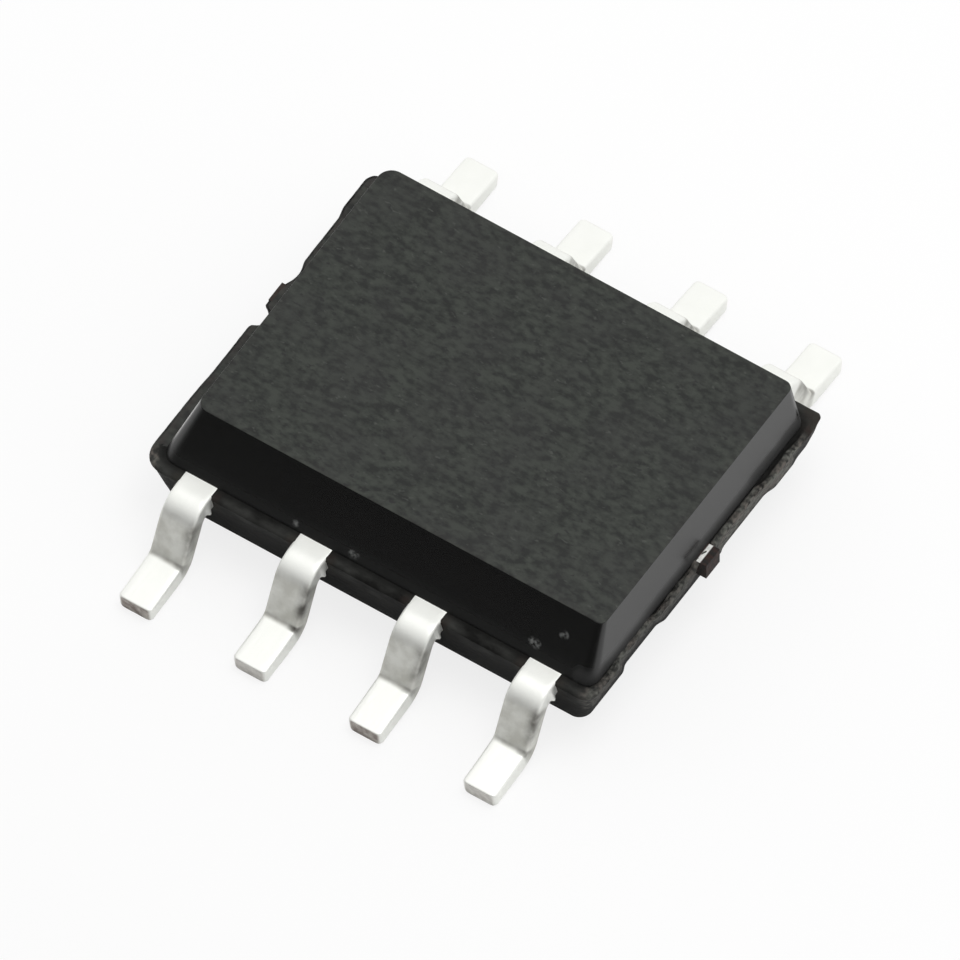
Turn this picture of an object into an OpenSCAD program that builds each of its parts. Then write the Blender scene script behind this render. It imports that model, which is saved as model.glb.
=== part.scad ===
// Eight-lead small-outline surface-mount package (SOIC-8), with its lead frame, die and bond wires.
// Frame: the seating plane is z = 0, the lead rows run along X, and the leads reach out along Y.
// Lead 1 is at -X on the -Y side, which is the side with the bevel, and the count runs
// anticlockwise seen from above.

/* [Moulded body] */
// Length of the lower half at the parting plane, with its flash
base_l = 5.0; // [4.8:0.01:5.1]
// Width of the lower half at the parting plane
base_w = 3.93; // [3.8:0.01:4.0]
// Height of the plastic from its underside to its top
body_h = 1.25; // [1.2:0.01:1.5]
// Gap between the underside and the seating plane
standoff = 0.15; // [0.1:0.01:0.25]
// Ledge of the lower half that stands out past the upper half, at each row of leads
ledge = 0.13; // [0.09:0.01:0.18]
// Ledge at each end, before the upper half's shift
end_ledge = 0.14; // [0.14:0.01:0.18]
// Shift of the upper half against the lower half, along the lead rows
cap_shift = 0.05; // [0:0.01:0.05]
// Draft of the lower half, in degrees
base_draft = 14; // [8:1:16]
// Draft of the upper half's ends, in degrees
cap_draft = 11; // [8:1:15]
// Draft of the upper half's side opposite the bevel, in degrees
far_draft = 7.5; // [5:0.5:15]
// Slope of the bevelled side next to lead 1, in degrees from upright
bevel_angle = 31; // [15:1:38]
// Corner radius of the lower half
base_corner_r = 0.15; // [0.05:0.01:0.2]
// Corner radius of the upper half at the parting plane
cap_foot_r = 0.12; // [0.08:0.01:0.2]
// Corner radius of the upper half at its top
cap_top_r = 0.08; // [0.04:0.01:0.15]
// Depth of the two notches beside the tie bar at the lead 1 end
notch_d = 0.08; // [0.04:0.01:0.08]
// Depth of the two notches beside the other tie bar
notch_right_d = 0.03; // [0.02:0.01:0.06]
// Distance over each pair of notches
notch_w = 0.82; // [0.7:0.01:1.0]
// Width of the plastic left between a pair of notches, around the tie bar
web_w = 0.42; // [0.36:0.01:0.5]
// Diameter of the ejector pin marks under the body
ejector_d = 0.9; // [0.5:0.05:1.0]
// Depth of the ejector pin marks
ejector_h = 0.03; // [0.02:0.01:0.05]

/* [Leads] */
// Distance between neighbouring leads
pitch = 1.27; // [1.25:0.01:1.29]
// Width of a lead
lead_w = 0.37; // [0.31:0.01:0.48]
// Thickness of the lead frame strip
lead_t = 0.2; // [0.17:0.01:0.25]
// Distance over the tips of both lead rows
lead_span = 5.95; // [5.8:0.01:6.2]
// Height of the parting plane and of the shoulder's top above the seating plane
parting_z = 0.83; // [0.78:0.01:0.95]
// Straight shoulder between the ledge and the first bend
shoulder_l = 0.035; // [0.01:0.005:0.08]
// Slope of the riser between the two bends, in degrees from level
riser_angle = 67; // [60:1:80]
// Slope of the foot, in degrees from level
foot_angle = 8; // [4:1:8]
// Inner radius of the bend under the shoulder
shoulder_bend_r = 0.1; // [0.05:0.01:0.15]
// Inner radius of the bend over the heel
heel_bend_r = 0.08; // [0.03:0.01:0.12]
// Length of the flat that bears on the seating plane at each toe
toe_flat_l = 0.12; // [0.06:0.01:0.15]
// How far the dam bar remnants stand out from a lead's sides
nub_w = 0.03; // [0.01:0.005:0.05]
// Length of the dam bar remnants along the lead
nub_l = 0.08; // [0.04:0.01:0.12]

/* [Lead frame inside the body] */
// Length of the die paddle along the lead rows
paddle_l = 2.4; // [2.0:0.05:2.6]
// Width of the die paddle
paddle_w = 1.8; // [1.5:0.05:1.9]
// How far the paddle lies below the level of the leads
downset = 0.23; // [0.15:0.01:0.25]
// Width of the two tie bars that hold the paddle
tie_w = 0.23; // [0.18:0.01:0.3]
// Place across the body of the tie bar at the lead 1 end
tie_left_y = 0.33; // [-0.1:0.01:0.4]
// Place across the body of the tie bar at the other end
tie_right_y = 0.04; // [-0.1:0.01:0.3]
// How far that other tie bar's cut end stands out of the body
tie_stub = 0.04; // [0.01:0.01:0.08]
// Distance from the paddle's end to the bend where a tie bar rises
ramp_gap = 0.1; // [0.08:0.01:0.15]
// Slope of that rise, in degrees
ramp_angle = 45; // [40:1:50]
// Width of the inner end of a lead
finger_w = 0.6; // [0.5:0.01:0.65]
// Clearance between a lead's inner end and the paddle's outline
finger_gap = 0.2; // [0.15:0.01:0.25]
// Width of the arm that a corner lead has beside the paddle's end
arm_w = 0.35; // [0.3:0.01:0.4]
// How far that arm reaches in past the line of the middle leads' inner ends
arm_l = 0.4; // [0.3:0.01:0.6]
// Distance from a lead's inner end to the middle of its wire's landing
bond_inset = 0.15; // [0.12:0.01:0.2]
// Length of plastic that grips a lead's narrow neck, measured from the ledge
neck_l = 0.4; // [0.3:0.01:0.45]

/* [Die and wires] */
// Length of the die
die_l = 1.5; // [1.2:0.05:1.7]
// Width of the die
die_w = 1.1; // [1.0:0.05:1.3]
// Thickness of the die
die_t = 0.25; // [0.15:0.01:0.28]
// Thickness of the die attach layer
attach_t = 0.03; // [0.02:0.005:0.05]
// Width of the rim of die attach outside the die
attach_rim = 0.06; // [0.02:0.01:0.1]
// Diameter of a bond wire
wire_d = 0.05; // [0.04:0.005:0.06]
// Height of a wire's arch above the line between its ends
loop_h = 0.16; // [0.14:0.01:0.2]
// Diameter of the ball bond on the die
ball_d = 0.11; // [0.1:0.01:0.13]
// Height of the ball bond
ball_h = 0.03; // [0.02:0.005:0.04]
// Distance from the die's edge to the centre of a bond pad
pad_inset = 0.12; // [0.08:0.01:0.15]

/* [Hidden] */
$fn = 64;

// Colours
mould_grey = [0.20, 0.21, 0.20];
tin = [0.84, 0.84, 0.82];
bare_copper = [0.72, 0.45, 0.28];
silver_epoxy = [0.66, 0.66, 0.64];
silicon = [0.30, 0.32, 0.38];
gold = [0.85, 0.66, 0.25];

// Body levels and outlines
leads_per_row = 4;
top_z = standoff + body_h;
cap_l = base_l - 2 * end_ledge;
cap_w = base_w - 2 * ledge;
cap_h = top_z - parting_z;
base_h = parting_z - standoff;
base_in = base_h * tan(base_draft);
cap_in = cap_h * tan(cap_draft);
far_in = cap_h * tan(far_draft);
bevel_in = cap_h * tan(bevel_angle);
corner_steps = 6;
ejector_x = base_l / 2 - base_in - ejector_d;

// Lead profile, with u measured outwards from the body's middle and v upwards
strip_z = parting_z - lead_t;
bend_u = base_w / 2 + shoulder_l;
toe_drop = toe_flat_l * tan(foot_angle);
toe_u = lead_span / 2 - lead_t * sin(foot_angle);
heel_out_r = heel_bend_r + lead_t;
// The straight of the riser is as long as it takes to bring the toe down to its place
drop = strip_z + toe_drop - shoulder_bend_r * (1 - cos(riser_angle))
       - heel_out_r * (cos(foot_angle) - cos(riser_angle));
reach = toe_u - bend_u - shoulder_bend_r * sin(riser_angle)
        - heel_out_r * (sin(riser_angle) - sin(foot_angle));
riser_l = (drop * cos(foot_angle) - reach * sin(foot_angle)) / sin(riser_angle - foot_angle);
heel_u = bend_u + (shoulder_bend_r + heel_out_r) * sin(riser_angle) + riser_l * cos(riser_angle);
heel_v = strip_z - shoulder_bend_r + (shoulder_bend_r + heel_out_r) * cos(riser_angle)
         - riser_l * sin(riser_angle);
bend_steps = 10;

// Inner ends of the leads
finger_in = paddle_w / 2 + finger_gap;
finger_out = base_w / 2 - neck_l;
corner_x = (leads_per_row - 1) * pitch / 2;
arm_x = paddle_l / 2 + finger_gap;
arm_in = finger_in - arm_l;

// Levels inside the body
paddle_z = strip_z - downset;
attach_z = paddle_z + lead_t;
die_z = attach_z + attach_t;
die_top_z = die_z + die_t;
ramp_x = paddle_l / 2 + ramp_gap;

// Bond pads along the die, for the middle leads and for the corner leads
middle_pad_x = die_l / 6;
corner_pad_x = die_l / 2 - pad_inset;

// Degrees by which a wire's arch runs on past its ends, to be cut off flat
wire_dip = 6;
// How far a cutting shape runs past what it cuts
cut_margin = 1;

// Side of a lead's row (-1 is the bevelled side) and its place along the row
function row_side(i) = i <= leads_per_row ? -1 : 1;
function row_x(i) = (i <= leads_per_row ? i - 1 : 2 * leads_per_row - i) * pitch - corner_x;
function is_corner(i) = abs(row_x(i)) > corner_x - pitch / 2;

// Points where lead i's wire lands on the die and on the lead
function die_pad(i) = [sign(row_x(i)) * (is_corner(i) ? corner_pad_x : middle_pad_x),
                       row_side(i) * (die_w / 2 - pad_inset)];
function lead_pad(i) = is_corner(i)
    ? [sign(row_x(i)) * (arm_x + arm_w / 2), row_side(i) * (arm_in + bond_inset)]
    : [row_x(i), row_side(i) * (finger_in + bond_inset)];

// Outline of a rectangle with round corners, as a ring of points at height z
function ring(x0, x1, y0, y1, r, z) =
    [for (c = [[x1 - r, y1 - r, 0], [x0 + r, y1 - r, 90],
               [x0 + r, y0 + r, 180], [x1 - r, y0 + r, 270]])
        for (k = [0:corner_steps])
            let (a = c[2] + 90 * k / corner_steps)
            [c[0] + r * cos(a), c[1] + r * sin(a), z]];

// Solid between two such rings
module loft(low, high) {
    n = len(low);
    sides = [for (k = [0:n - 1]) [k, n + k, n + (k + 1) % n, (k + 1) % n]];
    polyhedron(points = concat(low, high),
               faces = concat([[for (k = [0:n - 1]) k]], [[for (k = [n - 1:-1:0]) n + k]], sides),
               convexity = 2);
}

module lower_half() {
    l = base_l / 2;
    w = base_w / 2;
    loft(ring(-l + base_in, l - base_in, -w + base_in, w - base_in, base_corner_r, standoff),
         ring(-l, l, -w, w, base_corner_r, parting_z));
}

// Its -Y side has the bevel, and its ends and its +Y side have their drafts
module upper_half() {
    x0 = cap_shift - cap_l / 2;
    x1 = cap_shift + cap_l / 2;
    w = cap_w / 2;
    loft(ring(x0, x1, -w, w, cap_foot_r, parting_z),
         ring(x0 + cap_in, x1 - cap_in, -w + bevel_in, w - far_in, cap_top_r, top_z));
}

// Notches left in the ledge, on both sides of each tie bar, where the bars were punched off
module tie_bar_notches() {
    for (end = [[-1, tie_left_y, notch_d], [1, tie_right_y, notch_right_d]])
        translate([end[0] * base_l / 2, end[1], parting_z - lead_t])
            difference() {
                cube([2 * end[2], notch_w, 2 * lead_t], center = true);
                cube([4 * end[2], web_w, 4 * lead_t], center = true);
            }
}

module ejector_marks() {
    for (s = [-1, 1])
        translate([s * ejector_x, 0, standoff - cut_margin])
            cylinder(d = ejector_d, h = cut_margin + ejector_h);
}

module moulded_body() {
    color(mould_grey)
        difference() {
            union() {
                lower_half();
                upper_half();
            }
            tie_bar_notches();
            ejector_marks();
            for (i = [1:2 * leads_per_row]) {
                lead(i);
                bond_wire(i);
            }
            die_paddle();
            die_attach();
            silicon_die();
        }
}

// Points along an arc about c, from angle a0 to angle a1
function arc(c, r, a0, a1) =
    [for (k = [0:bend_steps]) let (a = a0 + (a1 - a0) * k / bend_steps) c + r * [cos(a), sin(a)]];

// Gull-wing profile, with u outwards: lower surface out to the toe, upper surface back
module lead_profile(inner_u) {
    shoulder = [bend_u, strip_z - shoulder_bend_r];
    heel = [heel_u, heel_v];
    toe = [toe_u, -toe_drop];
    across = lead_t * [sin(foot_angle), cos(foot_angle)];
    intersection() {
        polygon(concat([[inner_u, strip_z]],
                       arc(shoulder, shoulder_bend_r, 90, 90 - riser_angle),
                       arc(heel, heel_out_r, 270 - riser_angle, 270 - foot_angle),
                       [toe, toe + across],
                       arc(heel, heel_bend_r, 270 - foot_angle, 270 - riser_angle),
                       arc(shoulder, shoulder_bend_r + lead_t, 90 - riser_angle, 90),
                       [[inner_u, parting_z]]));
        square([lead_span, 2 * parting_z]);
    }
}

// Outlines of a lead seen from above, with the lead's row outwards: a middle one, and a corner one
// at the +X end, whose inner end leans in beside the paddle's end. w and f are half widths
function middle_outline(w, f) =
    [[-w, lead_span], [-w, finger_out], [-f, finger_out], [-f, finger_in],
     [f, finger_in], [f, finger_out], [w, finger_out], [w, lead_span]];
function corner_outline(w, f, tip) =
    [[-w, lead_span], [-w, finger_out],
     [w - 2 * f, finger_out], [w - 2 * f, finger_in + bond_inset],
     [tip, finger_in - bond_inset], [tip, arm_in], [tip + arm_w, arm_in],
     [w, finger_in + bond_inset], [w, lead_span]];

module lead_outline(corner) {
    w = lead_w / 2;
    f = finger_w / 2;
    polygon(corner ? corner_outline(w, f, arm_x - corner_x) : middle_outline(w, f));
    translate([-w - nub_w, base_w / 2])
        square([2 * (w + nub_w), nub_l]);
}

// A lead of the +Y row, with its middle at x = 0
module gull_wing(corner) {
    intersection() {
        translate([-cut_margin, 0, 0])
            rotate([90, 0, 90])
                linear_extrude(2 * cut_margin)
                    lead_profile(corner ? arm_in : finger_in);
        linear_extrude(2 * parting_z)
            lead_outline(corner);
    }
}

module lead(i) {
    color(tin)
        translate([row_x(i), 0, 0])
            mirror([row_x(i) < 0 ? 1 : 0, 0, 0])
                mirror([0, row_side(i) < 0 ? 1 : 0, 0])
                    gull_wing(is_corner(i));
}

// Paddle and tie bars, bent down out of the strip's level
module die_paddle() {
    end_x = base_l / 2;
    right_x = end_x + tie_stub;
    rise_x = ramp_x + downset / tan(ramp_angle);
    fold = lead_t * tan(ramp_angle / 2);
    right = [[ramp_x, paddle_z], [rise_x, strip_z], [right_x, strip_z],
             [right_x, parting_z], [rise_x - fold, parting_z], [ramp_x - fold, attach_z]];
    left = [[-ramp_x + fold, attach_z], [-rise_x + fold, parting_z], [-end_x, parting_z],
            [-end_x, strip_z], [-rise_x, strip_z], [-ramp_x, paddle_z]];
    color(bare_copper)
        intersection() {
            rotate([90, 0, 0])
                linear_extrude(2 * cut_margin, center = true)
                    polygon(concat(right, left));
            linear_extrude(2 * parting_z) {
                square([paddle_l, paddle_w], center = true);
                translate([-end_x, tie_left_y - tie_w / 2])
                    square([end_x, tie_w]);
                translate([0, tie_right_y - tie_w / 2])
                    square([right_x, tie_w]);
            }
        }
}

module die_attach() {
    color(silver_epoxy)
        translate([0, 0, attach_z + attach_t / 2])
            cube([die_l + 2 * attach_rim, die_w + 2 * attach_rim, attach_t], center = true);
}

module silicon_die() {
    color(silicon)
        translate([0, 0, die_z + die_t / 2])
            cube([die_l, die_w, die_t], center = true);
}

// Arch from the ball on the die to the lead's inner end, cut flat where it lands
module bond_wire(i) {
    from = die_pad(i);
    to = lead_pad(i);
    span = norm(to - from);
    fall = parting_z - die_top_z;
    tilt = atan(fall / span);
    chord = norm([span, fall]);
    arch_r = (chord * chord / 4 + loop_h * loop_h) / (2 * loop_h);
    half = asin(chord / 2 / arch_r) + wire_dip;
    color(gold)
        translate([from[0], from[1], die_top_z])
            rotate(atan2(to[1] - from[1], to[0] - from[0])) {
                intersection() {
                    translate([span / 2, 0, fall / 2])
                        rotate([90, -tilt, 0])
                            translate([0, loop_h - arch_r])
                                rotate(90 - half)
                                    rotate_extrude(angle = 2 * half)
                                        translate([arch_r, 0])
                                            circle(d = wire_d, $fn = 24);
                    rotate([90, 0, 0])
                        linear_extrude(4 * wire_d, center = true)
                            polygon([[-cut_margin, 0], [span / 2, 0], [span / 2, fall],
                                     [span + cut_margin, fall], [span + cut_margin, cut_margin],
                                     [-cut_margin, cut_margin]]);
                }
                cylinder(d = ball_d, h = ball_h);
            }
}

moulded_body();
lead(1);  // lead_1
lead(2);  // lead_2
lead(3);  // lead_3
lead(4);  // lead_4
lead(5);  // lead_5
lead(6);  // lead_6
lead(7);  // lead_7
lead(8);  // lead_8
die_paddle();
die_attach();
silicon_die();
bond_wire(1);  // bond_wire_1
bond_wire(2);  // bond_wire_2
bond_wire(3);  // bond_wire_3
bond_wire(4);  // bond_wire_4
bond_wire(5);  // bond_wire_5
bond_wire(6);  // bond_wire_6
bond_wire(7);  // bond_wire_7
bond_wire(8);  // bond_wire_8
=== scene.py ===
"""Eight-lead small-outline package: the looks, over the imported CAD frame. Lengths here are in
millimetres, as in the part's source, and become metres where a mesh is made."""

import math

import bmesh
import bpy
from mathutils import Matrix, Vector, noise


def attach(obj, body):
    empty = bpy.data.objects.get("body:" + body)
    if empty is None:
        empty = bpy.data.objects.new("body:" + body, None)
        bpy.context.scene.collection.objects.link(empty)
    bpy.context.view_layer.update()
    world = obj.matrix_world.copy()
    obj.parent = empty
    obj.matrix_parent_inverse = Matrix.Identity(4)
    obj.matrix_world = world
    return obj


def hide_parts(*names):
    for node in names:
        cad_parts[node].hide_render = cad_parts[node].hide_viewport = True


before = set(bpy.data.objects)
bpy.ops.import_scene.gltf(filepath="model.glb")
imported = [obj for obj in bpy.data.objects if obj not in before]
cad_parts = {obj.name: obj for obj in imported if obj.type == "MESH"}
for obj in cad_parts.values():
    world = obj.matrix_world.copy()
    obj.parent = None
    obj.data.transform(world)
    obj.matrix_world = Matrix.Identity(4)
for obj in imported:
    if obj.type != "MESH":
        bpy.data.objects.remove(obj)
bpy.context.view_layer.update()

MM = 0.001

# The part's own dimensions
BASE_L, BASE_W = 5.00, 3.93
STANDOFF, PARTING_Z, TOP_Z = 0.15, 0.83, 1.40
LEDGE, LEFT_LEDGE, RIGHT_LEDGE = 0.13, 0.12, 0.09
BASE_DRAFT, LEFT_DRAFT, RIGHT_DRAFT, FAR_DRAFT, BEVEL = (
    math.radians(a) for a in (14, 17.6, 9.5, 7.5, 31))
# Corner radii, from the +X +Y corner anticlockwise
BASE_CORNERS = (0.05, 0.12, 0.22, 0.14)
CAP_FOOT_CORNERS = (0.14, 0.15, 0.17, 0.13)
CAP_TOP_CORNERS = (0.09, 0.15, 0.12, 0.07)
# Small roundings of the bottom edge, the ledge's lip and the top edge
BOTTOM_R, LIP_R, TOP_R = 0.04, 0.030, 0.007
# The lip lies this far under the parting plane
LIP_DROP = 0.002
EJECTOR_D, EJECTOR_H = 0.9, 0.03
PITCH, LEAD_W, LEAD_T, LEAD_SPAN = 1.27, 0.37, 0.2, 5.95
SHOULDER_L, RISER, FOOT = 0.035, math.radians(67), math.radians(8)
SHOULDER_R, HEEL_R, TOE_FLAT = 0.1, 0.08, 0.12
DAM_BAR_STUB = 0.033
PADDLE_L, PADDLE_W, FINGER_W, FINGER_GAP = 2.4, 1.8, 0.6, 0.2
ARM_W, ARM_L, NECK_L, BOND_INSET = 0.35, 0.4, 0.4, 0.15


# ---------------------------------------------------------------- camera, world, lights, floor

AZIMUTH, ELEVATION, ROLL = math.radians(32.38), math.radians(55.29), math.radians(0.83)
VIEW_WIDTH = 8.913
CENTRE_RIGHT, CENTRE_UP = -0.0075, 0.0745
CAMERA_DISTANCE = 120


def make_camera():
    """Parallel view from above the near right corner."""
    back = Vector((math.sin(AZIMUTH) * math.cos(ELEVATION),
                   -math.cos(AZIMUTH) * math.cos(ELEVATION), math.sin(ELEVATION)))
    right = Vector((math.cos(AZIMUTH), math.sin(AZIMUTH), 0))
    up = back.cross(right)
    right, up = (math.cos(ROLL) * right + math.sin(ROLL) * up,
                 -math.sin(ROLL) * right + math.cos(ROLL) * up)
    data = bpy.data.cameras.new("camera")
    data.type = "ORTHO"
    data.ortho_scale = VIEW_WIDTH * MM
    data.clip_start, data.clip_end = 0.001, 1
    camera = bpy.data.objects.new("camera", data)
    place = (back * CAMERA_DISTANCE + right * CENTRE_RIGHT + up * CENTRE_UP) * MM
    turn = Matrix((right, up, back)).transposed().to_4x4()
    camera.matrix_world = Matrix.Translation(place) @ turn
    bpy.context.scene.collection.objects.link(camera)
    bpy.context.scene.camera = camera


def shown_rays(tree, kinds):
    """Socket that is 1 for the rays that look at the background."""
    path = tree.nodes.new("ShaderNodeLightPath")
    total = path.outputs[kinds[0]]
    for kind in kinds[1:]:
        add = tree.nodes.new("ShaderNodeMath")
        add.operation = "MAXIMUM"
        tree.links.new(total, add.inputs[0])
        tree.links.new(path.outputs[kind], add.inputs[1])
        total = add.outputs[0]
    return total


RAYS = ["Is Camera Ray", "Is Glossy Ray", "Is Transmission Ray"]
# What the world gives to every other ray, against 1 for the background
WORLD_LIGHT = 0.8


def make_world():
    """Plain white all round."""
    world = bpy.data.worlds.new("studio")
    world.use_nodes = True
    tree = world.node_tree
    tree.nodes["Background"].inputs["Color"].default_value = (1, 1, 1, 1)
    mix = tree.nodes.new("ShaderNodeMapRange")
    tree.links.new(shown_rays(tree, RAYS), mix.inputs["Value"])
    mix.inputs["To Min"].default_value = WORLD_LIGHT
    mix.inputs["To Max"].default_value = 1
    tree.links.new(mix.outputs["Result"], tree.nodes["Background"].inputs["Strength"])
    bpy.context.scene.world = world


def plane(name, size_x, size_y, matrix, material):
    """A flat piece of the stage, round the middle of its own axes."""
    mesh = bpy.data.meshes.new(name)
    x, y = size_x * MM / 2, size_y * MM / 2
    mesh.from_pydata([(-x, -y, 0), (x, -y, 0), (x, y, 0), (-x, y, 0)], [], [(0, 1, 2, 3)])
    mesh.materials.append(material)
    obj = bpy.data.objects.new(name, mesh)
    obj.matrix_world = matrix
    bpy.context.scene.collection.objects.link(obj)
    return obj


# Share of the floor that is lit, and so shows the shadow, to the camera, and the share that is
# plain white in a reflection
FLOOR_COLOUR, FLOOR_SHADOW, FLOOR_MIRRORED = 0.96, 0.2, 0.12
FLOOR_SIZE = 400
CARD_X, CARD_Y, CARD_W, CARD_H = -3, -14, 60, 14
CARD_FOOT_GLOW, CARD_TOP_GLOW = 0.02, 0.7


def make_floor():
    """A pale floor that takes the part's shadow and looks white."""
    material = bpy.data.materials.new("floor")
    material.use_nodes = True
    tree = material.node_tree
    tree.nodes.clear()
    out = tree.nodes.new("ShaderNodeOutputMaterial")
    matte = tree.nodes.new("ShaderNodeBsdfDiffuse")
    matte.inputs["Color"].default_value = (FLOOR_COLOUR,) * 3 + (1,)
    white = tree.nodes.new("ShaderNodeEmission")
    white.inputs["Color"].default_value = (1, 1, 1, 1)
    amount = tree.nodes.new("ShaderNodeMath")
    amount.operation = "MAXIMUM"
    shown = []
    for kinds, share in ((RAYS[:1], 1 - FLOOR_SHADOW), (RAYS[1:], FLOOR_MIRRORED)):
        part = tree.nodes.new("ShaderNodeMath")
        part.operation = "MULTIPLY"
        part.inputs[1].default_value = share
        tree.links.new(shown_rays(tree, kinds), part.inputs[0])
        shown.append(part.outputs[0])
    tree.links.new(shown[0], amount.inputs[0])
    tree.links.new(shown[1], amount.inputs[1])
    mix = tree.nodes.new("ShaderNodeMixShader")
    tree.links.new(amount.outputs[0], mix.inputs[0])
    tree.links.new(matte.outputs[0], mix.inputs[1])
    tree.links.new(white.outputs[0], mix.inputs[2])
    tree.links.new(mix.outputs[0], out.inputs["Surface"])
    plane("floor", FLOOR_SIZE, FLOOR_SIZE, Matrix.Identity(4), material)


def make_dark_card():
    """A card in front of the part, as in a studio: black at the foot and paler to the top. Only
    reflections and light see it."""
    material = bpy.data.materials.new("dark_card")
    material.use_nodes = True
    tree = material.node_tree
    tree.nodes.clear()
    out = tree.nodes.new("ShaderNodeOutputMaterial")
    glow = tree.nodes.new("ShaderNodeEmission")
    coords = tree.nodes.new("ShaderNodeTexCoord")
    split = tree.nodes.new("ShaderNodeSeparateXYZ")
    fade = tree.nodes.new("ShaderNodeMapRange")
    tree.links.new(coords.outputs["Object"], split.inputs[0])
    tree.links.new(split.outputs["Y"], fade.inputs["Value"])
    for key, value in (("From Min", -CARD_H * 0.2 * MM), ("From Max", CARD_H * 0.5 * MM),
                       ("To Min", CARD_FOOT_GLOW), ("To Max", CARD_TOP_GLOW)):
        fade.inputs[key].default_value = value
    tree.links.new(fade.outputs["Result"], glow.inputs["Strength"])
    tree.links.new(glow.outputs[0], out.inputs["Surface"])
    place = Matrix.Translation(Vector((CARD_X, CARD_Y, CARD_H / 2)) * MM)
    upright = Matrix.Rotation(math.radians(90), 4, "X")
    card = plane("dark_card", CARD_W, CARD_H, place @ upright, material)
    card.visible_camera = False


def lamp(name, place, target, size, power):
    """A round area lamp that aims at a place."""
    data = bpy.data.lights.new(name, "AREA")
    data.shape = "DISK"
    data.size = size * MM
    data.energy = power
    obj = bpy.data.objects.new(name, data)
    obj.location = Vector(place) * MM
    obj.rotation_mode = "QUATERNION"
    obj.rotation_quaternion = (Vector(target) - Vector(place)).to_track_quat("-Z", "Y")
    bpy.context.scene.collection.objects.link(obj)


make_camera()
make_world()
make_floor()
make_dark_card()
lamp("key", place=(8, 2, 45), target=(0, 0, 0.7), size=26, power=0.0058)


# ---------------------------------------------------------------- materials

class Tree:
    """A Principled material, with its nodes added in one line each."""

    def __init__(self, name):
        self.material = bpy.data.materials.new(name)
        self.material.use_nodes = True
        self.tree = self.material.node_tree
        self.shader = self.tree.nodes["Principled BSDF"]
        coords = self.tree.nodes.new("ShaderNodeTexCoord").outputs["Object"]
        self.place = self.node("ShaderNodeVectorMath", {0: coords, "Scale": 1 / MM},
                               operation="SCALE").outputs[0]
        self.normal = self.tree.nodes.new("ShaderNodeNewGeometry").outputs["Normal"]

    def node(self, kind, inputs, **settings):
        """A node with its inputs linked or set."""
        made = self.tree.nodes.new(kind)
        for key, value in settings.items():
            setattr(made, key, value)
        for key, value in inputs.items():
            if isinstance(value, bpy.types.NodeSocket):
                self.tree.links.new(value, made.inputs[key])
            else:
                made.inputs[key].default_value = value
        return made

    def stretched(self, x, y, z):
        """The place, drawn out along the axes with the smaller factors."""
        return self.node("ShaderNodeVectorMath", {0: self.place, 1: (x, y, z)},
                         operation="MULTIPLY").outputs[0]

    def noise(self, scale, detail=3, vector=None, rough=0.5):
        """Noise with this many swells to the millimetre."""
        return self.node("ShaderNodeTexNoise",
                         {"Vector": vector or self.place, "Scale": scale, "Detail": detail,
                          "Roughness": rough}).outputs["Fac"]

    def math(self, operation, a, b=0.0):
        """One sum of two values."""
        return self.node("ShaderNodeMath", {0: a, 1: b}, operation=operation).outputs[0]

    def ramp(self, value, low, high, to_low=0.0, to_high=1.0):
        """The value carried from one range into another, and held at its ends."""
        return self.node("ShaderNodeMapRange",
                         {"Value": value, "From Min": low, "From Max": high,
                          "To Min": to_low, "To Max": to_high}).outputs["Result"]

    def mix(self, amount, a, b):
        """Colour a, or b where the amount is 1."""
        made = self.node("ShaderNodeMix", {"Factor": amount}, data_type="RGBA")
        for key, value in ((6, a), (7, b)):
            if isinstance(value, bpy.types.NodeSocket):
                self.tree.links.new(value, made.inputs[key])
            else:
                made.inputs[key].default_value = (*value, 1)
        return made.outputs[2]

    def part(self, vector, axis):
        """One component of a vector."""
        return self.node("ShaderNodeSeparateXYZ", {0: vector}).outputs[axis]

    def attribute(self, name):
        """A mark that the mesh carries on its points."""
        return self.node("ShaderNodeAttribute", {}, attribute_name=name).outputs["Fac"]

    def spot(self, x, y, z, radius):
        """1 at a place, fading to 0 at the radius."""
        away = self.node("ShaderNodeVectorMath", {0: self.place, 1: (x, y, z)},
                         operation="DISTANCE").outputs["Value"]
        return self.ramp(away, radius * 0.3, radius, 1, 0)

    def bump(self, height, depth, strength):
        """Relief of a depth in millimetres."""
        made = self.node("ShaderNodeBump",
                         {"Height": height, "Strength": strength, "Distance": depth * MM})
        self.tree.links.new(made.outputs[0], self.shader.inputs["Normal"])

    def set(self, **values):
        """Sets the shader's sockets, named with _ for each space."""
        for key, value in values.items():
            socket = self.shader.inputs[key.replace("_", " ")]
            if isinstance(value, bpy.types.NodeSocket):
                self.tree.links.new(value, socket)
            elif isinstance(value, tuple):
                socket.default_value = (*value, 1)
            else:
                socket.default_value = value


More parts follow.
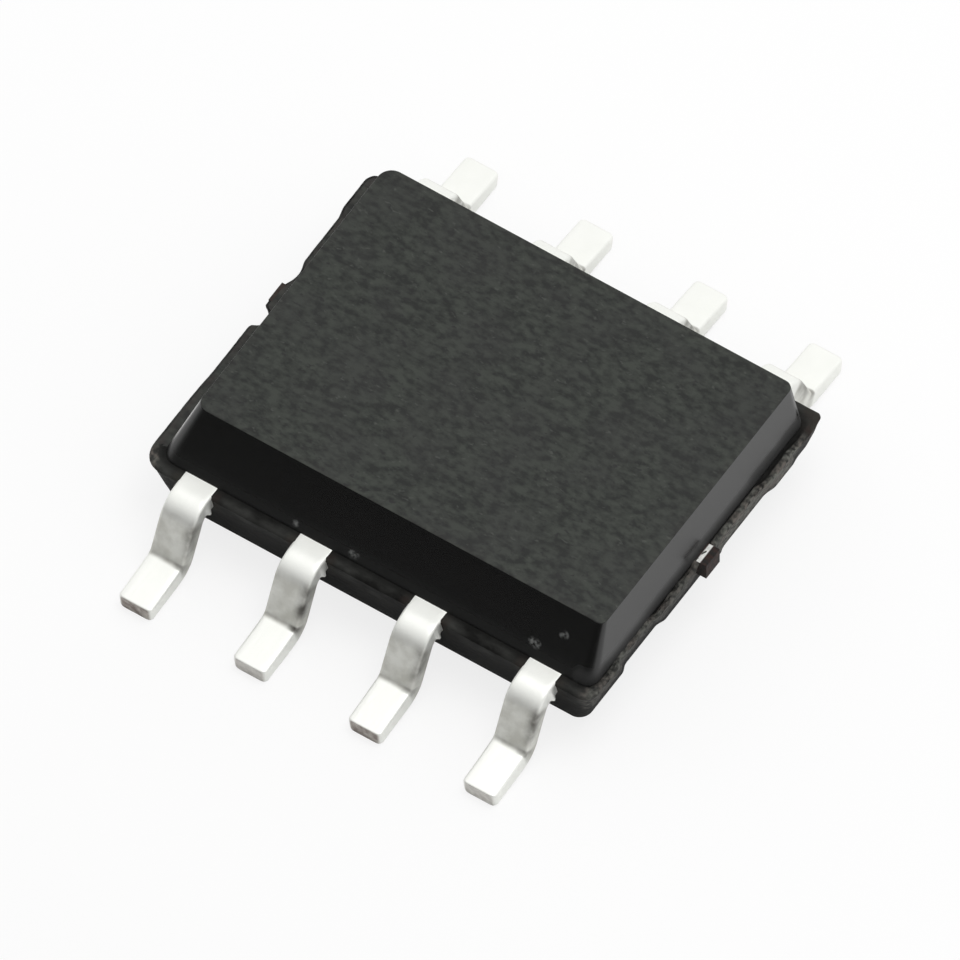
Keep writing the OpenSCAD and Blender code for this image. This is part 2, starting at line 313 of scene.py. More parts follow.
def compound_top():
    """The matt top, blotched and faintly streaked along the body."""
    m = Tree("compound_top")
    streaks = m.noise(4.6, 5, m.stretched(1, 1.9, 1.9), 0.6)
    blots = m.noise(10, 3, m.stretched(1, 1.5, 1.5))
    fine = m.noise(12, 2, m.stretched(1, 1.7, 1.7))
    tone = m.math("ADD", m.math("MULTIPLY", streaks, 0.45), m.math("MULTIPLY", blots, 0.55))
    colour = m.mix(m.ramp(tone, 0.41, 0.59), (0.0002, 0.0016, 0.0001), (0.0218, 0.0268, 0.0198))
    grey_patch = m.ramp(m.noise(1.6, 2), 0.42, 0.62, 0, 0.35)
    colour = m.mix(grey_patch, colour, (0.0125, 0.0125, 0.0120))
    light_fleck, pit = m.ramp(fine, 0.66, 0.78, 0, 0.7), m.ramp(fine, 0.36, 0.27, 0, 0.85)
    colour = m.mix(light_fleck, colour, (0.052, 0.057, 0.049))
    colour = m.mix(pit, colour, (0.0, 0.0, 0.0))
    brown_rim = m.math("MULTIPLY", m.attribute("edge"), m.ramp(m.noise(5, 3), 0.35, 0.65))
    colour = m.mix(m.math("MULTIPLY", brown_rim, 0.5), colour, (0.034, 0.022, 0.019))
    m.set(Base_Color=colour, IOR=1.45, Roughness=m.ramp(tone, 0.41, 0.59, 0.62, 0.5))
    m.bump(tone, 0.012, 0.5)
    return m.material


# Dust on the smooth near side: place and radius
DUST = ((-0.887, -1.80, 0.89, 0.045), (-0.26, -1.80, 0.89, 0.055), (-0.225, -1.79, 0.885, 0.05),
        (1.99, -1.64, 1.16, 0.05), (1.96, -1.66, 1.15, 0.04), (1.75, -1.75, 0.96, 0.06),
        (1.70, -1.75, 0.97, 0.05))


def compound_side():
    """The smooth drafted sides of the upper half, pale down one corner from rubbed wear and a
    painted highlight (wear_and_highlight), and dull where edge is high."""
    m = Tree("compound_side")
    grain = m.noise(20, 3)
    colour = m.mix(m.ramp(grain, 0.3, 0.7), (0.0016, 0.0018, 0.0015), (0.0030, 0.0032, 0.0028))
    # Pale down the near-left corner: partly rubbed wear, partly a painted highlight
    wear_and_highlight = m.math("MULTIPLY", m.attribute("wear_and_highlight"), m.ramp(m.noise(13, 3), 0.2, 0.5, 0.4, 1))
    colour = m.mix(wear_and_highlight, colour, (0.5, 0.49, 0.48))
    dust = m.spot(*DUST[0])
    for place in DUST[1:]:
        dust = m.math("MAXIMUM", dust, m.spot(*place))
    dust = m.math("MULTIPLY", dust, m.ramp(m.noise(30, 2), 0.35, 0.65))
    colour = m.mix(m.math("MULTIPLY", dust, 0.8), colour, (0.19, 0.195, 0.19))
    m.set(Base_Color=colour, IOR=1.6, Roughness=m.ramp(m.attribute("edge"), 0, 1, 0.24, 0.9))
    m.bump(grain, 0.003, 0.1)
    return m.material


def compound_base():
    """The duller lower half: paler in patches along its lip and darker down its walls and in
    towards the upper half's foot (edge), its own patchy tone with painted sheen and shade; brown
    beside the leads (stain); gritty where the flash has broken off, and pale on the right end's
    walls as a painted sheen (grit_and_sheen)."""
    m = Tree("compound_base")
    grain = m.noise(26, 4)
    patch = m.ramp(m.noise(3.4, 3, m.stretched(1, 1.6, 1.6)), 0.36, 0.64)
    colour = m.mix(m.ramp(grain, 0.3, 0.7), (0.0030, 0.0030, 0.0026), (0.0062, 0.0062, 0.0056))
    # Paler in patches towards the lip (edge): the compound's own patchy tone with painted sheen;
    # where edge is low, the foot of the walls and the ledge by the upper half stay darker as
    # painted shade
    colour = m.mix(m.math("MULTIPLY", m.attribute("edge"), patch), colour, (0.036, 0.0365, 0.034))
    stain = m.mix(m.ramp(m.noise(9, 2), 0.4, 0.6), (0.026, 0.018, 0.0155), (0.032, 0.030, 0.025))
    colour = m.mix(m.attribute("stain"), colour, stain)
    # Gritty where the flash broke off, and pale on the right end's walls as a painted sheen
    grit_and_sheen = m.math("MULTIPLY", m.attribute("grit_and_sheen"), m.ramp(m.noise(22, 3), 0.36, 0.66))
    grit_and_sheen_colour = m.mix(m.ramp(m.noise(6, 2), 0.4, 0.6),
                        (0.135, 0.137, 0.122), (0.125, 0.112, 0.10))
    colour = m.mix(grit_and_sheen, colour, grit_and_sheen_colour)
    m.set(Base_Color=colour, Specular_IOR_Level=0.12, Roughness=0.65)
    m.bump(grain, 0.012, 0.6)
    return m.material


def tin_plate():
    """Matt tin: greyer down the riser and in the heel's crease as painted shade, patchy like
    smudges (bend), darker along one edge (dark_edge), and bare metal where the strip
    was cut off (cut)."""
    m = Tree("tin_plate")
    clouds = m.noise(6, 4)
    fine = m.noise(45, 3)
    streak = m.noise(14, 3, m.stretched(2.2, 0.5, 0.5))
    patchy = m.ramp(m.noise(7, 3), 0.34, 0.64)
    colour = m.mix(clouds, (0.895, 0.905, 0.86), (0.93, 0.935, 0.90))
    # Painted shade: the riser and the heel's crease greyer, in smudgy patches
    shade_smudge = m.math("MULTIPLY", m.attribute("bend"), m.ramp(patchy, 0, 1, 0.45, 1))
    colour = m.mix(m.math("MULTIPLY", shade_smudge, 0.7), colour, (0.43, 0.42, 0.365))
    # Darker along one edge
    dark_edge = m.math("MULTIPLY", m.attribute("dark_edge"), m.ramp(patchy, 0, 1, 0.4, 1))
    colour = m.mix(dark_edge, colour, (0.10, 0.095, 0.085))
    bare = m.mix(m.ramp(m.noise(16, 3), 0.35, 0.65), (0.22, 0.18, 0.16), (0.50, 0.47, 0.43))
    colour = m.mix(m.attribute("cut"), colour, bare)
    matt = m.math("ADD", clouds, m.math("MULTIPLY", fine, 0.4))
    m.set(Base_Color=colour, Metallic=0.6, Roughness=m.ramp(matt, 0.4, 1.0, 0.42, 0.56))
    relief = m.math("ADD", m.math("MULTIPLY", fine, 0.35), m.math("MULTIPLY", streak, 0.65))
    m.bump(relief, 0.005, 0.5)
    return m.material


def plain(name, dark, light, scale, rough, metallic, depth):
    """An even material with a fine grain."""
    m = Tree(name)
    grain = m.noise(scale, 4)
    m.set(Base_Color=m.mix(m.ramp(grain, 0.3, 0.7), dark, light), Metallic=metallic,
          Roughness=m.ramp(grain, 0.3, 0.7, rough, rough + 0.15))
    m.bump(grain, depth, 0.5)
    return m.material


# The tin on the +X tie bar's end, along X
TINNED_FROM, TINNED_TO = 2.420, 2.472


def tie_bar_copper():
    """Copper strip: its tie bars are tinned where they show, dark brown at the cut, where the bare
    copper's own brown is deepened as painted shade, and dark with mould compound at the -X end."""
    m = Tree("bare_copper")
    grain = m.noise(12, 4, m.stretched(1, 3, 3))
    copper = m.mix(m.ramp(grain, 0.3, 0.7), (0.55, 0.26, 0.15), (0.78, 0.45, 0.30))
    x = m.part(m.place, "X")
    # The bare cut end: copper's own brown, deepened nearly to black as painted shade
    bare = m.mix(m.ramp(m.noise(18, 2), 0.4, 0.6), (0.030, 0.014, 0.011), (0.010, 0.008, 0.007))
    faces_up = m.ramp(m.part(m.normal, "Z"), 0.5, 0.8)
    tinned = m.math("MULTIPLY", faces_up, m.ramp(x, TINNED_TO - 0.01, TINNED_TO, 1, 0))
    tinned = m.math("MULTIPLY", tinned, m.ramp(x, TINNED_FROM, TINNED_FROM + 0.01))
    end = m.mix(tinned, bare, (0.95, 0.95, 0.92))
    end = m.mix(m.ramp(x, -0.1, 0.1), (0.030, 0.020, 0.016), end)
    shown = m.ramp(m.math("ABSOLUTE", x), BASE_L / 2 - 0.24, BASE_L / 2 - 0.19)
    dull = m.math("SUBTRACT", shown, tinned)
    polish = m.ramp(grain, 0.3, 0.7, 0.3, 0.45)
    m.set(Base_Color=m.mix(shown, copper, end), Metallic=m.math("SUBTRACT", 1.0, dull),
          Roughness=m.math("ADD", m.math("MULTIPLY", dull, 0.45), polish))
    m.bump(grain, 0.004, 0.5)
    return m.material


COMPOUND = [compound_top(), compound_side(), compound_base()]
TIN, COPPER = tin_plate(), tie_bar_copper()
EPOXY = plain("silver_epoxy", (0.42, 0.42, 0.40), (0.66, 0.66, 0.63), 30, 0.45, 0.7, 0.006)
SILICON = plain("silicon", (0.10, 0.11, 0.15), (0.16, 0.17, 0.22), 8, 0.12, 0.6, 0.0005)
GOLD = plain("gold_wire", (0.80, 0.54, 0.20), (0.92, 0.68, 0.32), 40, 0.22, 1.0, 0.001)


# ---------------------------------------------------------------- the moulded body

SIDE_STEPS, END_STEPS, CORNER_STEPS = 200, 160, 10
# The middle of the -X -Y corner, counted along a ring of points
NEAR_LEFT_CORNER = 2 * (CORNER_STEPS + 1) + SIDE_STEPS + END_STEPS - 2 + CORNER_STEPS / 2 - 1
# Slots in COMPOUND. The ledge takes the top's at one corner and the base's elsewhere
TOP, SIDE, BASE, ON_LEDGE = 0, 1, 2, 3
# The left end's notches begin at this height
NOTCH_Z = 0.44
# Along Y per unit of height: the slant on which the right end broke off
BREAK_SLANT = 0.585


def smooth_step(value, low, high):
    """0 below low and 1 above high, with no corner between."""
    t = min(max((value - low) / (high - low), 0), 1)
    return t * t * (3 - 2 * t)


def rough(x, y, z, scale, seed):
    """Smooth unevenness between -1 and 1, of about 1 / scale across."""
    return noise.noise(Vector((x * scale + seed, y * scale - seed, z * scale)))


def outline(x0, x1, y0, y1, radii):
    """Points round a rectangle with round corners, the same number whatever its size."""
    steps = [SIDE_STEPS, END_STEPS, SIDE_STEPS, END_STEPS]
    arcs = []
    for k, r in enumerate(radii):
        cx = (x1 - r) if k in (0, 3) else (x0 + r)
        cy = (y1 - r) if k in (0, 1) else (y0 + r)
        turn = [math.radians(90 * (k + j / CORNER_STEPS)) for j in range(CORNER_STEPS + 1)]
        arcs.append([(cx + r * math.cos(a), cy + r * math.sin(a)) for a in turn])
    points = []
    for k, arc in enumerate(arcs):
        (ax, ay), (bx, by) = arc[-1], arcs[(k + 1) % 4][0]
        points += arc
        points += [(ax + (bx - ax) * j / steps[k], ay + (by - ay) * j / steps[k])
                   for j in range(1, steps[k])]
    return points


def base_ring(z, inset=0.0):
    """Outline of the lower half at a height."""
    d = (PARTING_Z - z) * math.tan(BASE_DRAFT) + inset
    return outline(-BASE_L / 2 + d, BASE_L / 2 - d, -BASE_W / 2 + d, BASE_W / 2 - d,
                   [max(r - inset * 0.5, 0.02) for r in BASE_CORNERS])


def cap_ring(z, inset=0.0):
    """Outline of the upper half at a height."""
    up = z - PARTING_Z
    share = up / (TOP_Z - PARTING_Z)
    left, right, far, near = (up * math.tan(a) + inset
                              for a in (LEFT_DRAFT, RIGHT_DRAFT, FAR_DRAFT, BEVEL))
    half_w = BASE_W / 2 - LEDGE
    radii = [max(low + (high - low) * share - inset * 0.5, 0.02)
             for low, high in zip(CAP_FOOT_CORNERS, CAP_TOP_CORNERS)]
    return outline(LEFT_LEDGE - BASE_L / 2 + left, BASE_L / 2 - RIGHT_LEDGE - right,
                   near - half_w, half_w - far, radii)


def span(y, low, high, soft=0.03):
    """1 between two places along an edge, with soft ends."""
    return smooth_step(y, low - soft, low + soft) * (1 - smooth_step(y, high - soft, high + soft))


def end_inset(side, y):
    """How far an end stands in from the plain outline, by its trimming notches and its wear."""
    if side < 0:
        left_of_bump = smooth_step(y, 0.36, 0.60) * (1 - smooth_step(y, 0.62, 0.80))
        return (0.082 * span(y, -0.09, 0.13) + 0.066 * left_of_bump
                + 0.029 * span(y, 0.70, 1.42, 0.09) + 0.002 - 0.014 * span(y, -1.85, -0.9, 0.2))
    return (0.022 * (1 - smooth_step(y, 0.90, 1.0)) + 0.036 * span(y, -1.46, -0.84, 0.06)
            + 0.014 * span(y, -0.15, -0.04) - 0.014 * span(y, 1.0, 1.38, 0.05)
            - 0.020 * span(y, 0.05, 0.16, 0.04) - 0.022 * span(y, 1.5, 1.85, 0.1))


def place_base(x, y, z, flash):
    """A point of the lower half, moved in from the plain form by wear and notches. The lip is
    ragged where flash is 1."""
    side = 1 if x > 0 else -1
    at_end = smooth_step(abs(x), BASE_L / 2 - 0.42, BASE_L / 2 - 0.22)
    at_side = smooth_step(abs(y), BASE_W / 2 - 0.42, BASE_W / 2 - 0.22)
    wave = (0.5 * rough(x, y, 0, 3.2, 5) + 0.35 * rough(x, y, 0, 11, 9)
            + 0.25 * rough(x, y, 0, 23, 4))
    if side > 0:
        ragged = max(span(y, -1.9, -0.05, 0.05), 0.25)
        worn = (end_inset(side, y + BREAK_SLANT * (z - PARTING_Z))
                * smooth_step(z, STANDOFF - 0.05, STANDOFF + 0.02))
    else:
        ragged = 0.3
        worn = end_inset(side, y) * smooth_step(z, NOTCH_Z - 0.02, NOTCH_Z + 0.02)
    x -= side * at_end * (worn + 0.016 * flash * ragged * wave)
    y -= math.copysign(at_side * (0.002 + 0.006 * flash * wave), y)
    return x, y


def ledge_drop(x, y, share):
    """How far the ledge lies below the parting plane, from its lip (0) to the upper half (1)."""
    right = smooth_step(x, 2.2, 2.35)
    groove = 0.012 * right * smooth_step(share, 0.35, 0.75) * (1 - smooth_step(y, 1.55, 1.75))
    near = right * span(y, -1.8, -0.1, 0.08)
    chips = 0.13 * near * max(rough(x, y, 0, 4.3, 21) + 0.3 * rough(x, y, 0, 13, 8) - 0.05, 0)
    lumps = 0.010 * right * rough(x, y, 0, 17, 2)
    over_tie = 0.003 * (1 - smooth_step(x, -2.3, -2.2)) * span(y, 0.15, 0.52, 0.02)
    return LIP_DROP + groove + chips * (1 - 0.6 * share) + lumps - over_tie


def lead_stain(x, y):
    """Brown stain of the mould compound beside each lead."""
    if abs(y) < BASE_W / 2 - 0.3:
        return 0.0
    away = min(abs(abs(x - k * PITCH / 2) - LEAD_W / 2 - 0.02) for k in (-3, -1, 1, 3))
    return 0.6 * (1 - smooth_step(away, 0.02, 0.09))


def base_marks(x, y, z, edge, grit_and_sheen):
    """The marks of a point of the lower half: edge, grit_and_sheen, stain, wear_and_highlight."""
    at_right = smooth_step(x, 2.30, 2.40)
    flash_left = max(span(x, -2.6, -2.36, 0.06) * span(y, -2.1, -1.74, 0.1),
                     0.85 * smooth_step(x, 2.33, 2.40) * span(y, -1.9, 1.65, 0.08))
    # The right end's walls, paled as a painted sheen
    near_wall_sheen = at_right * span(y, -1.95, -0.05, 0.05) * smooth_step(z, 0.25, 0.45) * (edge > 0)
    far_wall_sheen = (at_right * span(y, 0.30, 1.60, 0.10) * smooth_step(z, 0.2, 0.3)
                * (z < PARTING_Z - 0.01))
    far_corner = edge * smooth_step(x, 2.30, 2.36) * smooth_step(y, 1.65, 1.75)
    return (edge, max(grit_and_sheen * flash_left, 0.7 * near_wall_sheen, 1.8 * far_wall_sheen),
            max(edge * lead_stain(x, y), 0.9 * far_corner), 0.0)


def cap_marks(k, x, z, slot, edge):
    """The marks of a point of the upper half, the k-th on its ring: edge, grit_and_sheen, stain,
    wear_and_highlight.
    """
    # A pale stripe down the near-left corner's arc: partly wear, partly a painted highlight
    worn_and_highlit = math.exp(-((k - NEAR_LEFT_CORNER + 2.6) / 1.2) ** 2) * span(z, 0.93, 1.37, 0.04)
    if slot == SIDE:
        # Duller over the foot of the right end and down its far corner
        edge = max(edge * max(smooth_step(x, 2.15, 2.25), 0.1), 0.8 * span(k, 4, 11, 2))
    return edge, 0.0, 0.0, worn_and_highlit


def base_layer(points, z, slot, edge, flash, grit_and_sheen=0.0):
    """A ring of the lower half, and its slot: each point is its place and its marks."""
    ring = []
    for x, y in points:
        x, y = place_base(x, y, z, flash)
        ring.append(((x, y, z), *base_marks(x, y, z, edge, grit_and_sheen)))
    return ring, slot


def cap_layer(points, z, slot, edge):
    """A ring of the upper half, and its slot."""
    return [((x, y, z), *cap_marks(k, x, z, slot, edge)) for k, (x, y) in enumerate(points)], slot


def ledge_layer(outer, inner, share):
    """A ring of the ledge, part of the way from the lip to the upper half's foot."""
    points = [(p[0] + (q[0] - p[0]) * share, p[1] + (q[1] - p[1]) * share)
              for p, q in zip(outer, inner)]
    # edge falls towards the upper half's foot, so the ledge is painted darker there as shade
    ring, slot = base_layer(points, PARTING_Z, ON_LEDGE, 1 - 0.85 * smooth_step(share, 0.1, 0.9),
                            1 - share, 1 - smooth_step(share, 0.3, 0.5))
    # The upper half's foot stays where it is
    keep = smooth_step(share, 0.75, 1.0)
    moved = []
    for ((x, y, _), *marks), (px, py) in zip(ring, points):
        place = (x + (px - x) * keep, y + (py - y) * keep, PARTING_Z - ledge_drop(px, py, share))
        moved.append((place, *marks))
    return moved, slot


def body_rings():
    """The rings of the moulding, from the bottom to the top."""
    rings = []
    quarter = [math.radians(90 * k / 4) for k in range(5)]
    for a in quarter:
        rings.append(base_layer(base_ring(STANDOFF, BOTTOM_R * (1 - math.sin(a))),
                                STANDOFF + BOTTOM_R * (1 - math.cos(a)), BASE, 0, 0.0))
    for z in (0.25, 0.32, 0.38, 0.42, 0.44, 0.46, 0.50, 0.56, 0.62, 0.67, 0.72, 0.76, 0.79):
        # edge rises up the wall, so the wall is painted darker towards the bottom as shade
        rings.append(base_layer(base_ring(z), z, BASE, smooth_step(z, 0.45, 0.80),
                                smooth_step(z, 0.6, 0.80), 0.8 * smooth_step(z, 0.74, 0.80)))
    for a in quarter:
        z = PARTING_Z - LIP_DROP - LIP_R * (1 - math.sin(a))
        rings.append(base_layer(base_ring(PARTING_Z, LIP_R * (1 - math.cos(a))), z, BASE,
                                1, 1.0, 1.0))
    outer, inner = base_ring(PARTING_Z, LIP_R), cap_ring(PARTING_Z)
    for share in (0.08, 0.2, 0.35, 0.42, 0.5, 0.58, 0.65, 0.8, 0.92, 1.0):
        rings.append(ledge_layer(outer, inner, share))
    for z in (0.845, 0.87, 0.90, 0.95, 1.0, 1.1, 1.2, 1.3, 1.36, TOP_Z - TOP_R - 0.005):
        rings.append(cap_layer(cap_ring(z), z, SIDE, 1 - smooth_step(z, 0.84, 1.0)))
    for k, a in enumerate(quarter):
        z = TOP_Z - TOP_R * (1 - math.sin(a))
        rings.append(cap_layer(cap_ring(z, TOP_R * (1 - math.cos(a))), z,
                               SIDE if k < 2 else TOP, 0.15))
    rings.append(cap_layer(cap_ring(TOP_Z, TOP_R + 0.005), TOP_Z, TOP, 0.15))
    rings.append(cap_layer(cap_ring(TOP_Z, 0.10), TOP_Z, TOP, 0.0))
    return rings


def make_body():
    """The moulding as one skin through its rings, each point with its marks."""
    bm = bmesh.new()
    layers = [bm.verts.layers.float.new(name) for name in ("edge", "grit_and_sheen", "stain", "wear_and_highlight")]
    made = []
    for ring, slot in body_rings():
        verts = []
        for place, *marks in ring:
            v = bm.verts.new(Vector(place) * MM)
            for layer, mark in zip(layers, marks):
                v[layer] = mark
            verts.append(v)
        made.append((verts, slot))
    n = len(made[0][0])
    for (low, _), (high, slot) in zip(made, made[1:]):
        for j in range(n):
            face = bm.faces.new((low[j], low[(j + 1) % n], high[(j + 1) % n], high[j]))
            face.material_index = slot
            if slot == ON_LEDGE:
                middle = face.calc_center_median() / MM
                face.material_index = TOP if middle.x < -2.28 and middle.y > -1.70 else BASE
    bm.faces.new(list(reversed(made[0][0]))).material_index = BASE
    bm.faces.new(made[-1][0]).material_index = TOP
    return finish_mesh(bm, "moulded_body_skin", COMPOUND)


def finish_mesh(bm, name, materials, sharp=32):
    """The object of a finished mesh, smooth but for its edges sharper than an angle."""
    bmesh.ops.recalc_face_normals(bm, faces=bm.faces)
    mesh = bpy.data.meshes.new(name)
    bm.to_mesh(mesh)
    bm.free()
    for material in materials:
        mesh.materials.append(material)
    mesh.shade_smooth()
    mesh.set_sharp_from_angle(angle=math.radians(sharp))
    obj = bpy.data.objects.new(name, mesh)
    bpy.context.scene.collection.objects.link(obj)
    return obj


def cut_ejector_marks(body):
    """Two shallow round marks in the underside."""
    base_in = (PARTING_Z - STANDOFF) * math.tan(BASE_DRAFT)
    x = BASE_L / 2 - base_in - EJECTOR_D
    depth = 0.2
    bm = bmesh.new()
    for side in (-1, 1):
        place = Vector((side * x, 0, STANDOFF + EJECTOR_H - depth / 2)) * MM
        bmesh.ops.create_cone(bm, cap_ends=True, segments=64, radius1=EJECTOR_D / 2 * MM,
                              radius2=EJECTOR_D / 2 * MM * 0.96, depth=depth * MM,
                              matrix=Matrix.Translation(place))
    mesh = bpy.data.meshes.new("marks")
    bm.to_mesh(mesh)
    bm.free()
    tool = bpy.data.objects.new("marks", mesh)
    bpy.context.scene.collection.objects.link(tool)
    cut = body.modifiers.new("marks", "BOOLEAN")
    cut.operation, cut.object, cut.solver = "DIFFERENCE", tool, "EXACT"
    graph = bpy.context.evaluated_depsgraph_get()
    result = bpy.data.meshes.new_from_object(body.evaluated_get(graph))
    body.modifiers.clear()
    body.data = result
    bpy.data.objects.remove(tool)
    for face in body.data.polygons:
        if face.center.z < (STANDOFF + EJECTOR_H + 0.01) * MM:
            face.material_index = BASE


body = make_body()
cut_ejector_marks(body)
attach(body, "root")
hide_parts("moulded_body")


# ---------------------------------------------------------------- the leads

STRIP_MID = PARTING_Z - LEAD_T / 2
# Painted shade along the riser, where 1 is the heel's crease
RISER_SHADE = 0.85
# Leads 1 to 8: the darkening down one edge, and the darkness of the cut end
EDGE_DARKNESS = (0.75, 1.0, 0.8, 0.9, 0.6, 0.6, 0.6, 0.6)
CUT_DARK = (1.0, 0.55, 0.95, 0.5, 0.7, 0.7, 0.7, 0.7)
# The rounding of the cut end
TOE_R, TOE_STEPS = 0.045, 6
BEND_U = BASE_W / 2 + SHOULDER_L
FINGER_IN = PADDLE_W / 2 + FINGER_GAP
FINGER_OUT = BASE_W / 2 - NECK_L
CORNER_X = 1.5 * PITCH
ARM_X = PADDLE_L / 2 + FINGER_GAP


def lead_path():
    """Middle line of a lead outside the body: stations of (u, v, slope, bend, stage),
    where bend paints the riser and the heel's crease greyer as shade, and the stage
    counts the shoulder, riser, heel and foot."""
    strip_z = PARTING_Z - LEAD_T
    toe_u = LEAD_SPAN / 2 - LEAD_T * math.sin(FOOT)
    toe_v = -TOE_FLAT * math.tan(FOOT)
    heel_out = HEEL_R + LEAD_T
    drop = (strip_z - toe_v - SHOULDER_R * (1 - math.cos(RISER))
            - heel_out * (math.cos(FOOT) - math.cos(RISER)))
    reach = (toe_u - BEND_U - SHOULDER_R * math.sin(RISER)
             - heel_out * (math.sin(RISER) - math.sin(FOOT)))
    riser_l = (drop * math.cos(FOOT) - reach * math.sin(FOOT)) / math.sin(RISER - FOOT)
    # The centres of the shoulder's bend and of the heel's
    shoulder = (BEND_U, strip_z - SHOULDER_R)
    both = SHOULDER_R + heel_out
    heel = (BEND_U + both * math.sin(RISER) + riser_l * math.cos(RISER),
            strip_z - SHOULDER_R + both * math.cos(RISER) - riser_l * math.sin(RISER))
    stations = []
    r = SHOULDER_R + LEAD_T / 2
    for k in range(11):
        a = RISER * k / 10
        stations.append((shoulder[0] + r * math.sin(a), shoulder[1] + r * math.cos(a), a,
                         RISER_SHADE * smooth_step(k, 6, 10), k / 10))
    u, v = stations[-1][:2]
    for k in range(1, 8):
        d = riser_l * k / 8
        stations.append((u + d * math.cos(RISER), v - d * math.sin(RISER), RISER,
                         RISER_SHADE, 1 + k / 8))
    r = HEEL_R + LEAD_T / 2
    for k in range(13):
        a = RISER + (FOOT - RISER) * k / 12
        # Painted shade, deepest in the heel's crease
        bend = (RISER_SHADE + (1 - RISER_SHADE) * span(k, 3, 8, 2.5)
                - RISER_SHADE * smooth_step(k, 5, 12))
        stations.append((heel[0] - r * math.sin(a), heel[1] - r * math.cos(a), a, bend, 2 + k / 12))
    u, v = stations[-1][:2]
    end_u, end_v = toe_u + LEAD_T / 2 * math.sin(FOOT), toe_v + LEAD_T / 2 * math.cos(FOOT)
    for k in range(1, 13):
        share = k / 12
        stations.append((u + (end_u - u) * share, v + (end_v - v) * share, FOOT, 0.0, 3 + share))
    return stations


def lead_section(low, high, half_t, top_r, low_r):
    """Rounded section of the strip, anticlockwise: points of (x, height)."""
    points = []
    corners = ((high - top_r, half_t - top_r, top_r, 0),
               (low + top_r, half_t - top_r, top_r, 90),
               (low + low_r, low_r - half_t, low_r, 180),
               (high - low_r, low_r - half_t, low_r, 270))
    for k, (cx, cy, r, start) in enumerate(corners):
        for j in range(5):
            a = math.radians(start + 90 * j / 4)
            points.append((cx + r * math.cos(a), cy + r * math.sin(a)))
        if k in (0, 2):
            # Along the flat of the strip to the next corner
            (ax, ay), bx = points[-1], corners[k + 1][0]
            points += [(ax + (bx - ax) * j / 8, ay) for j in range(1, 8)]
    return points


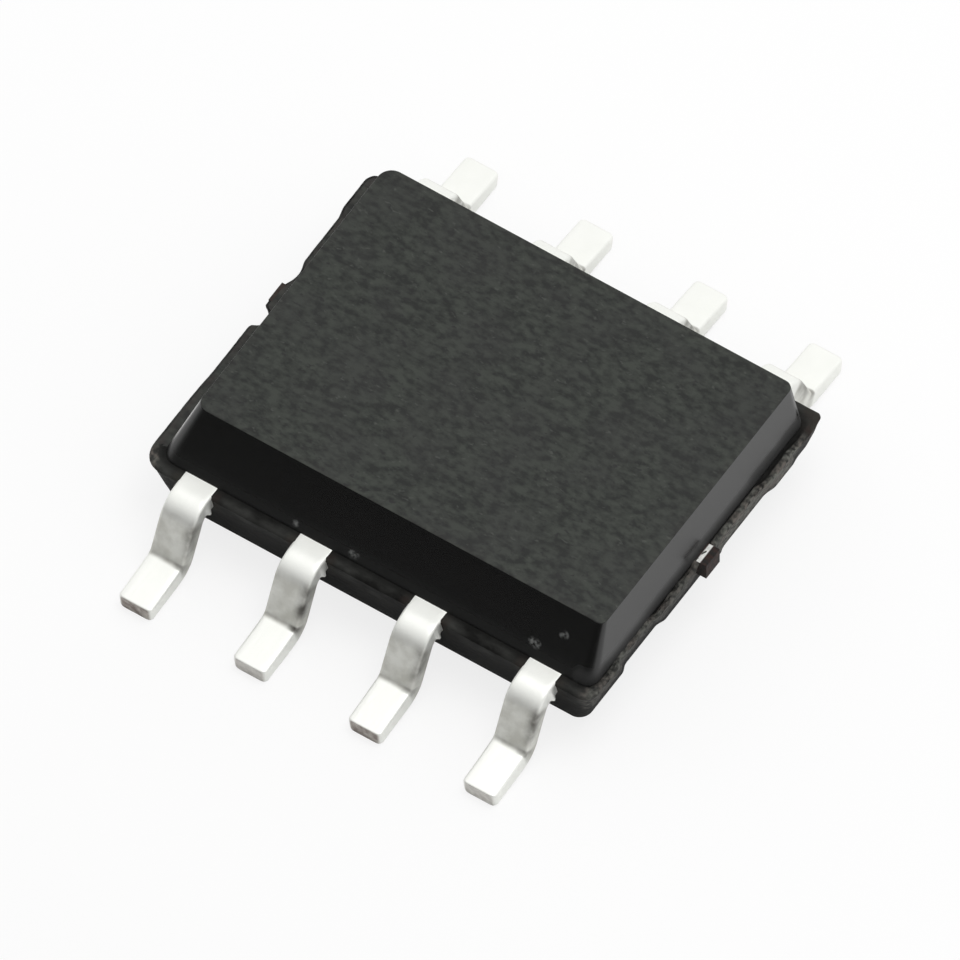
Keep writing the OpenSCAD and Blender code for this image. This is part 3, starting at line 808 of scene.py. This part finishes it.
def make_lead(number):
    """A lead as one sweep of sections, from its end beside the paddle to its cut toe."""
    near = number <= 4
    row_x = ((number - 1) if near else (8 - number)) * PITCH - CORNER_X
    flip = -1 if row_x < 0 else 1
    side = -1 if near else 1
    w, f = LEAD_W / 2, FINGER_W / 2
    # Inside the body: stations of (u, low, high), where a corner lead has an arm to the paddle
    if abs(row_x) > PITCH:
        tip = ARM_X - CORNER_X
        inner = [(FINGER_IN - ARM_L, tip, tip + ARM_W), (FINGER_IN - BOND_INSET, tip, tip + ARM_W),
                 (FINGER_IN + BOND_INSET, w - 2 * f, w), (FINGER_OUT, w - 2 * f, w)]
    else:
        inner = [(FINGER_IN, -f, f), (FINGER_OUT, -f, f)]
    inner.append((FINGER_OUT + 0.01, -w, w))
    inner += [(BASE_W / 2 + past, -w, w) for past in (-0.16, -0.1, -0.06, -0.03, -0.01, 0.01)]
    rings = [(u, STRIP_MID, 0.0, 0.0, 0.0, low, high) for u, low, high in inner]
    rings += [(*station, -w, w) for station in lead_path()]
    bm = bmesh.new()
    layers = [bm.verts.layers.float.new(key) for key in ("bend", "cut", "dark_edge")]
    made = []

    def add_ring(u, v, slope, bend, stage, low, high, narrow, thin, cut):
        """A section of the strip, drawn in by narrow at its sides and thin at its flats."""
        outside = smooth_step(u, BASE_W / 2 - 0.1, BASE_W / 2 + 0.1)
        drift = 0.006 * outside * rough(row_x * 3.1 + u, number * 1.7, 0, 1.6, 3)
        top_r, low_r = 0.018 + 0.012 * outside, 0.022 + 0.028 * smooth_step(u, 2.5, 2.9)
        riser = span(stage, 0.85, 1.75, 0.2)
        heel = span(stage, 2.2, 2.85, 0.15)
        at_stub = 1 - smooth_step(abs(u - BASE_W / 2 - 0.045), 0.01, 0.05)
        verts = []
        for x, h in lead_section(low + narrow, high - narrow, LEAD_T / 2 - thin,
                                 top_r - thin, low_r - thin):
            right = x * flip / w
            # Darker down the edge away from the middle, on the riser and heel
            dark_edge = EDGE_DARKNESS[number - 1] * max(riser * smooth_step(right, 0.45, 0.95),
                                          heel * smooth_step(right, 0.3, 0.9))
            # What is left of the dam bar, longer on one side
            stub = at_stub * (1 - smooth_step(h, -0.06, 0.06))
            x += math.copysign(DAM_BAR_STUB * stub * (1 if right > 0 else 0.3), x)
            wobble = 0.003 * outside * rough(x + row_x, u, h + number, 7, 13)
            px = x * (1 + wobble * 2) + drift
            py = min(u + h * math.sin(slope), LEAD_SPAN / 2)
            pz = max(v + h * math.cos(slope), 0.0)
            verts.append(bm.verts.new(Vector((row_x + flip * px, side * py, pz)) * MM))
            for layer, mark in zip(layers, (bend, cut, dark_edge if h > -LEAD_T / 4 else 0.0)):
                verts[-1][layer] = mark
        made.append(verts)

    u, v, slope, _, stage, low, high = rings[-1]
    for ring in rings:
        if ring[0] < u - TOE_R - 0.008:
            add_ring(*ring, 0.0, 0.0, 0.0)
    for k in range(TOE_STEPS + 1):
        a = math.radians(90 * k / TOE_STEPS)
        back = TOE_R * (1 - math.sin(a))
        near_end = smooth_step(k, TOE_STEPS / 2, TOE_STEPS)
        add_ring(u - back * math.cos(slope), v + back * math.sin(slope), slope, 0.0, stage, low,
                 high, TOE_R * (1 - math.cos(a)), 0.010 * near_end, CUT_DARK[number - 1] * near_end)
    add_ring(u, v, slope, 0.0, stage, low, high, TOE_R + 0.02, 0.016, CUT_DARK[number - 1])
    n = len(made[0])
    for a, b in zip(made, made[1:]):
        for j in range(n):
            bm.faces.new((a[j], a[(j + 1) % n], b[(j + 1) % n], b[j]))
    bm.faces.new(list(reversed(made[0])))
    bm.faces.new(made[-1])
    name = "lead_%d" % number
    lead = finish_mesh(bm, name + "_strip", [TIN], 40)
    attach(lead, "root")
    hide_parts(name)


for number in range(1, 9):
    make_lead(number)


# ---------------------------------------------------------------- the pieces inside

inside = {"die_paddle": COPPER, "die_attach": EPOXY, "silicon_die": SILICON}
inside.update({"bond_wire_%d" % n: GOLD for n in range(1, 9)})
for name, material in inside.items():
    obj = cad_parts[name]
    for item in (obj if isinstance(obj, (list, tuple)) else [obj]):
        item.data.materials.clear()
        item.data.materials.append(material)

bpy.context.scene.view_settings.view_transform = "Standard"
